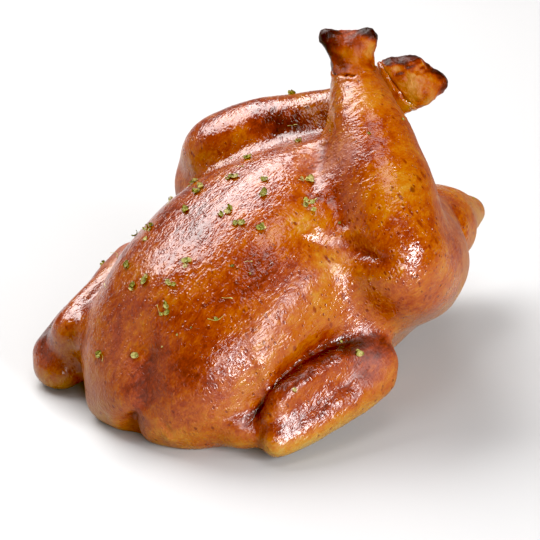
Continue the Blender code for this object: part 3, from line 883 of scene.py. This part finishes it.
def joint_material():
    """Roasted gristle and bone ends: yellow-brown, charred purple-black along the edges."""
    material, g, shader = new_material("roasted ankle joint", {
        "Roughness": 0.34, "Specular IOR Level": 0.16, "Subsurface Weight": 0.15,
        "Subsurface Radius": (1.0, 0.45, 0.2), "Subsurface Scale": 0.003})
    place = g.place()
    patches = g.group(MOTTLING, Vector=place, Size=0.006, Finer=0.6)["Amount"]
    # The crease attribute darkens the joint's pits and hollows as painted shade.
    level = g.total(0.08, (g.attribute("burnt"), 0.88), (patches, 0.10), (g.attribute("crease"), 0.30))
    g.feed(shader.inputs["Base Color"], ramp(g, level, JOINT_TONES, tone))
    roughen(g, shader, g.noise(place, 0.0011, 3.0, 0.6), 0.0008, 0.6)
    return material


# ---------------- herbs, stalks and pepper
# Where the herb clumps lie: place, how many flakes and how far they spread, in millimetres.
HERB_CLUMPS = [
    ((-12, -37, 99), 4, 2.2), ((-23, -47, 93), 3, 2.4), ((5, -55, 93), 4, 2.4), ((13, -55, 91), 3, 2.6),
    ((23, -51, 90), 3, 2.0), ((-17, -59, 89), 2, 1.6), ((-33, -67, 77), 3, 2.0), ((-28, -74, 75), 2, 1.6),
    ((4, -31, 102), 1, 1.0), ((11, -39, 98), 2, 1.4), ((18, -18, 100), 3, 2.2), ((28, -27, 94), 5, 3.2),
    ((5, -81, 76), 3, 2.0), ((-16, -94, 62), 3, 2.0), ((-10, -90, 67), 2, 1.6), ((5, -89, 69), 3, 2.0),
    ((9, -95, 62), 2, 1.6), ((10, -97, 59), 2, 1.6), ((-17, -111, 34), 2, 1.4), ((3, -110, 40), 1, 1.0),
    ((70, -36, 40), 2, 1.4), ((63, -71, 32), 1, 1.0), ((-20, -20, 106), 3, 2.4), ((-34, -40, 92), 3, 2.2),
    ((-46, -62, 68), 3, 2.2), ((-50, -38, 78), 2, 1.8), ((-12, 4, 107), 3, 2.4), ((-28, -86, 66), 2, 1.8),
    ((-40, 30, 112), 2, 1.6), ((-20, 44, 118), 2, 1.6), ((0, 40, 100), 3, 2.2), ((8, 60, 88), 2, 1.8),
    ((40, 30, 98), 2, 1.6), ((-74, -60, 42), 2, 1.6),
]
# Loose stalks: place, length and the way that each points, as seen from above.
HERB_STALKS = [
    ((32, -88, 62), 7.5, 0.9), ((31, -80, 68), 5.0, 0.5), ((29, -65, 80), 3.5, 0.7),
    ((-15, -114, 35), 4.0, 1.9), ((-37, -91, 55), 4.5, 2.6), ((-66, -58, 48), 8.0, 2.9),
    ((-71, -93, 26), 3.5, 1.2), ((-14, -29, 102), 4.5, 0.2), ((4, -31, 103), 4.0, 0.4),
    ((16, -19, 101), 4.5, 1.2), ((28, -24, 95), 5.0, 1.5), ((-36, -52, 84), 5.0, 2.0),
    ((-20, 10, 110), 4.5, 0.8), ((22, 50, 92), 4.0, 2.4), ((-30, 60, 78), 4.0, 0.4),
    ((5, -97, 60), 3.5, 2.2),
]
# Shapes of the leaf flakes: length, width, curl, cup and notches; then the stalks' bend and whether
# they end in a bud.
LEAVES = [(1.9, 1.1, 1.6, 0.25, 0.10), (1.6, 0.9, 2.3, -0.30, 0.22), (2.2, 0.7, -1.2, 0.40, 0.15),
          (1.4, 1.2, 1.1, 0.35, 0.25), (2.0, 0.8, 2.7, 0.20, 0.12)]
TWIGS = [(0.10, True), (-0.16, False), (0.05, True)]
# How many points of the skin are tried for a loose flake, and how far up the skin must face there.
LOOSE_FLAKES = 46
LEAST_UPWARD = 0.35
PEPPER_GRAINS = 420
GRAIN_SHAPES = 3
# Pepper stays this far above the table, and this far from an ankle.
PEPPER_LOWEST = 0.012
PEPPER_FROM_ANKLE = 0.014
SEASONING_SEED = 12


class Grains:
    """Places for small things on the skin, kept as a mesh of points that a tree of nodes reads."""

    def __init__(self, skin_object):
        self.tree = BVHTree.FromObject(skin_object, bpy.context.evaluated_depsgraph_get())
        self.rows = []

    def add(self, place, heading, size, kind, tint, sink=0.0):
        """One thing on the skin nearest to a place; it points along the heading, flat on the skin."""
        found, normal, _, _ = self.tree.find_nearest(Vector(place))
        flat = heading - normal * heading.dot(normal)
        flat.normalize()
        across = normal.cross(flat)
        turn = Matrix((flat, across, normal)).transposed().to_euler()
        self.rows.append((found - normal * sink, turn, size, kind, tint))

    def carrier(self, name):
        """A mesh of one point for each thing, with its turn, size, kind and tint."""
        mesh = bpy.data.meshes.new(name)
        mesh.from_pydata([row[0] for row in self.rows], [], [])
        turns = mesh.attributes.new("turn", "FLOAT_VECTOR", "POINT")
        turns.data.foreach_set("vector", [angle for row in self.rows for angle in row[1]])
        for key, column, kind in (("size", 2, "FLOAT"), ("kind", 3, "INT"), ("tint", 4, "FLOAT")):
            attribute = mesh.attributes.new(key, kind, "POINT")
            attribute.data.foreach_set("value", [row[column] for row in self.rows])
        return new_object(name, mesh)


def scatter_tree(name, shapes, material):
    """Sets one of the shapes, turned and sized, at each point and joins them into one mesh."""
    tree = bpy.data.node_groups.new(name, "GeometryNodeTree")
    tree.interface.new_socket("Points", in_out="INPUT", socket_type="NodeSocketGeometry")
    tree.interface.new_socket("Scale", in_out="INPUT", socket_type="NodeSocketFloat")
    tree.interface.new_socket("Geometry", in_out="OUTPUT", socket_type="NodeSocketGeometry")
    g = Graph(tree)
    given = g.node("NodeGroupInput").outputs
    joined = g.node("GeometryNodeJoinGeometry")
    kind, size, turn = (
        g.node("GeometryNodeInputNamedAttribute", {"Name": key}, data_type=data).outputs["Attribute"]
        for key, data in (("kind", "INT"), ("size", "FLOAT"), ("turn", "FLOAT_VECTOR")))
    scale = g.math("MULTIPLY", size, given["Scale"])
    for number, shape in enumerate(shapes):
        chosen = g.node("FunctionNodeCompare", {2: kind, 3: number}, data_type="INT", operation="EQUAL")
        source = g.node("GeometryNodeObjectInfo", {"Object": shape})
        placed = g.node("GeometryNodeInstanceOnPoints",
                        {"Points": given["Points"], "Selection": chosen.outputs[0],
                         "Instance": source.outputs["Geometry"], "Rotation": turn, "Scale": scale})
        tree.links.new(placed.outputs["Instances"], joined.inputs[0])
    real = g.node("GeometryNodeRealizeInstances", {"Geometry": joined.outputs[0]})
    painted = g.node("GeometryNodeSetMaterial", {"Geometry": real.outputs[0], "Material": material})
    out = g.node("NodeGroupOutput")
    tree.links.new(painted.outputs[0], out.inputs["Geometry"])
    return tree


def scattered(name, grains, shapes, material, scale=1.0):
    """One plain mesh of everything in the grains."""
    obj = grains.carrier(name)
    tree = scatter_tree(name.replace("_", " "), shapes, material)
    modifier = obj.modifiers.new("scatter", "NODES")
    modifier.node_group = tree
    sockets = {item.name: item.identifier for item in tree.interface.items_tree if item.in_out == "INPUT"}
    modifier[sockets["Scale"]] = scale
    keep_result(obj)
    for shape in shapes:
        bpy.data.objects.remove(shape)
    finish_piece(obj, material)


# Flakes, stalks and grains are built about 1 unit long and turned into millimetres.
MILLIMETRES = Matrix.Scale(0.001, 4)


def leaf_flake(number, long, wide, curl, cup, notch):
    """A bit of dried leaf, about 1 mm for each unit: lobed, cupped, curled and thin."""
    bm = bmesh.new()
    rows, columns = 7, 5
    grid = []
    for i in range(rows):
        u = 2 * i / (rows - 1) - 1
        half = wide * (1 - 0.82 * abs(u) ** 2.2) * (1 + notch * sin(3.3 * pi * u + number))
        line = []
        for j in range(columns):
            v = 2 * j / (columns - 1) - 1
            angle = curl * u
            ring = long / max(abs(curl), 0.01)
            x = ring * sin(angle)
            z = ring * (1 - cos(angle)) * (1 if curl > 0 else -1) + cup * (v * half) ** 2
            z += 0.10 * sin(5 * v + 3 * u + number) + 0.12
            line.append(bm.verts.new((x, v * half + 0.18 * long * sin(1.7 * u + number), z)))
        grid.append(line)
    for i in range(rows - 1):
        for j in range(columns - 1):
            bm.faces.new((grid[i][j], grid[i + 1][j], grid[i + 1][j + 1], grid[i][j + 1]))
    bmesh.ops.solidify(bm, geom=bm.faces[:], thickness=0.13)
    bmesh.ops.recalc_face_normals(bm, faces=bm.faces)
    bm.transform(MILLIMETRES)
    return mesh_object("leaf_flake", bm)


# Six directions round a stalk, which is a little flat.
STALK_TURNS = [Vector((0, cos(k * pi / 3), 0.8 * sin(k * pi / 3))) for k in range(6)]


def stalk(number, bend, bud):
    """A thin bent stalk 1 mm long for each unit of length, with or without a bud at its end."""
    bm = bmesh.new()
    rings = []
    for i in range(9):
        t = i / 8
        radius = 0.022 * (1 - 0.45 * t) * (1 + 0.25 * sin(9 * t + number))
        if bud:
            radius += 0.045 * np.exp(-((t - 0.86) / 0.10) ** 2)
        middle = Vector((t - 0.5, bend * sin(pi * t) + 0.03 * sin(7 * t + number), 0.03 + 0.10 * t * t))
        rings.append([bm.verts.new(middle + turn * radius) for turn in STALK_TURNS])
    for one, other in zip(rings, rings[1:]):
        for k in range(6):
            bm.faces.new((one[k], other[k], other[(k + 1) % 6], one[(k + 1) % 6]))
    bm.faces.new(rings[0])
    bm.faces.new(rings[-1][::-1])
    bmesh.ops.recalc_face_normals(bm, faces=bm.faces)
    bm.transform(MILLIMETRES)
    return mesh_object("stalk", bm)


def pepper_grain(number):
    """A cracked bit of pepper, about 1 mm across."""
    bm = bmesh.new()
    bmesh.ops.create_icosphere(bm, subdivisions=2, radius=0.5)
    for vert in bm.verts:
        bump = noise.noise(vert.co * 1.9 + Vector((number * 3.7, 1.3, 0.4)))
        vert.co *= 1 + 0.55 * bump
        vert.co.z = vert.co.z * 0.7
    bm.transform(MILLIMETRES)
    return mesh_object("pepper_grain", bm)


HERB_GREENS = [
    (0.00, 104, 98, 40),
    (0.30, 150, 146, 68),
    (0.60, 180, 176, 100),
    (0.85, 204, 192, 130),
    (1.00, 160, 112, 60),
]
PEPPER_BROWNS = [
    (0.00, 34, 16, 12),
    (0.55, 74, 28, 18),
    (0.85, 112, 52, 30),
    (1.00, 170, 120, 70),
]


def herb_material():
    """Dried chopped herbs: green to olive flakes, browned at their edges, a little oily."""
    material, g, shader = new_material("chopped herbs", {"Roughness": 0.42})
    place = g.place()
    patches = g.group(MOTTLING, Vector=place, Size=0.0016, Finer=0.4)["Amount"]
    tint = g.total(g.attribute("tint"), (patches, 0.16))
    g.feed(shader.inputs["Base Color"], ramp(g, tint, HERB_GREENS, srgb))
    roughen(g, shader, g.noise(place, 0.0005), 0.0003, 0.7)
    return material


def pepper_material():
    """Cracked pepper, black-brown with a few paler bits."""
    material, g, shader = new_material("cracked pepper", {"Roughness": 0.4})
    place = g.place()
    tint = g.total(g.attribute("tint"), (g.noise(place, 0.0006), 0.3))
    g.feed(shader.inputs["Base Color"], ramp(g, tint, PEPPER_BROWNS, srgb))
    roughen(g, shader, g.noise(place, 0.0003), 0.0002, 0.8)
    return material


def near_ankle(place):
    """Whether a place lies near either ankle."""
    return min((place - Vector(at(ANKLE[hand]))).length for hand in (RIGHT, LEFT)) < PEPPER_FROM_ANKLE


def season(skin_object):
    """Herb flakes in clumps, loose stalks and cracked pepper, each kind as one piece."""
    dice = np.random.default_rng(SEASONING_SEED)
    top = skin_object.data.vertices

    def one_of(count):
        return int(dice.integers(0, count))

    def heading():
        angle = dice.uniform(0, 2 * pi)
        return Vector((cos(angle), sin(angle), dice.uniform(-0.5, 0.5)))

    flakes = Grains(skin_object)
    for place, count, spread in HERB_CLUMPS:
        for _ in range(count):
            spot = at(place) + mm(dice.normal(0, 0.55, 3) * spread)
            flakes.add(spot, heading(), dice.uniform(1.0, 1.65), one_of(len(LEAVES)),
                       dice.uniform(0.2, 0.85))
    for _ in range(LOOSE_FLAKES):
        spot = top[one_of(len(top))]
        if spot.normal.z > LEAST_UPWARD:
            flakes.add(spot.co, heading(), dice.uniform(0.35, 0.75), one_of(len(LEAVES)),
                       dice.uniform(0, 0.8))
    herbs = herb_material()
    scattered("herb_flakes", flakes, [leaf_flake(k, *leaf) for k, leaf in enumerate(LEAVES)], herbs)

    stalks = Grains(skin_object)
    for place, length, angle in HERB_STALKS:
        stalks.add(at(place), Vector((cos(angle), sin(angle), 0.1)), length, one_of(len(TWIGS)),
                   dice.uniform(0.3, 0.9))
    scattered("herb_stalks", stalks, [stalk(k, *twig) for k, twig in enumerate(TWIGS)], herbs)

    pepper = Grains(skin_object)
    while len(pepper.rows) < PEPPER_GRAINS:
        spot = top[one_of(len(top))]
        upward = spot.normal.z > dice.uniform(-0.35, 0.6)
        if upward and spot.co.z > PEPPER_LOWEST and not near_ankle(spot.co):
            size = dice.uniform(0.28, 0.72)
            pepper.add(spot.co, heading(), size, one_of(GRAIN_SHAPES), dice.uniform(0, 0.9),
                       sink=mm(size * 0.12))
    scattered("pepper_specks", pepper, [pepper_grain(k) for k in range(GRAIN_SHAPES)], pepper_material())


# ---------------- studio
# The camera's aim, its direction in degrees, its distance and the width that it takes in, in metres.
AIM = Vector(at((-0.8, -22.6, 52.3)))
AZIMUTH, ELEVATION = 45.5, 25.0
DISTANCE = 1.6
FRAME_WIDTH = 0.2455
SENSOR = 36.0


def camera():
    """Looks from above at the bird's neck end and its right side."""
    around, above = radians(AZIMUTH), radians(ELEVATION)
    towards = Vector((sin(around) * cos(above), -cos(around) * cos(above), sin(above)))
    lens = bpy.data.cameras.new("camera")
    lens.sensor_width = SENSOR
    lens.lens = SENSOR * DISTANCE / FRAME_WIDTH
    lens.clip_start = 0.05
    obj = new_object("camera", lens)
    obj.location = AIM + towards * DISTANCE
    obj.rotation_euler = towards.to_track_quat("Z", "Y").to_euler()
    bpy.context.scene.camera = obj


def softbox(name, direction, distance, size, power, colour=(1, 1, 1), roll=0.0):
    """A rectangular lamp that faces the bird from a direction, turned about its middle by the roll."""
    lamp = bpy.data.lights.new(name, "AREA")
    lamp.shape = "RECTANGLE"
    lamp.size, lamp.size_y = size
    lamp.energy = power
    lamp.color = colour
    obj = new_object(name, lamp)
    direction = Vector(direction).normalized()
    obj.location = AIM + direction * distance
    turn = direction.to_track_quat("Z", "Y").to_matrix() @ Matrix.Rotation(roll, 3, "Z")
    obj.rotation_euler = turn.to_euler()


def studio():
    """Softboxes, a pale surround and how the light becomes the picture's tones."""
    softbox("left softbox", (-0.64, 0.05, 0.77), 1.1, (1.00, 0.70), 26.0, (1.0, 0.98, 0.96))
    softbox("right strip light", (0.92, -0.13, 0.35), 2.0, (0.38, 1.40), 64.0, roll=radians(-37))
    softbox("top light", (0.16, -0.05, 0.97), 1.2, (0.50, 0.50), 3.6)
    softbox("fill light", (0.72, -0.60, 0.36), 1.5, (0.35, 0.35), 5.0)
    softbox("front reflector", (-0.70, -0.75, 0.36), 1.2, (0.90, 0.50), 0.8)
    world = bpy.data.worlds.new("studio")
    world.use_nodes = True
    bpy.context.scene.world = world
    background = world.node_tree.nodes["Background"]
    background.inputs["Color"].default_value = (1, 1, 1, 1)
    background.inputs["Strength"].default_value = 0.20
    view = bpy.context.scene.view_settings
    view.view_transform = "Standard"
    view.look = "None"
    view.exposure = 0.0
    view.use_curve_mapping = True
    view.curve_mapping.black_level = (0.006, 0.013, 0.022)
    view.curve_mapping.update()


def lay_floor():
    """A pale floor under the bird."""
    bm = bmesh.new()
    bmesh.ops.create_grid(bm, x_segments=1, y_segments=1, size=3.0)
    floor = mesh_object("floor", bm)
    material, _, _ = new_material("pale floor", {"Base Color": srgb(176, 176, 177), "Roughness": 0.6})
    floor.data.materials.append(material)


# ---------------- putting it together
skin = fine_form("glazed_skin", SKIN_SPACING, SKIN_SMOOTHING)
shape_skin(skin)
paint_skin(skin)
finish_piece(skin.obj, skin_material())
joint_finish = joint_material()
for side in (RIGHT, LEFT):
    finish_piece(ankle_joint(side, skin).obj, joint_finish)
season(skin.obj)

camera()
studio()
lay_floor()
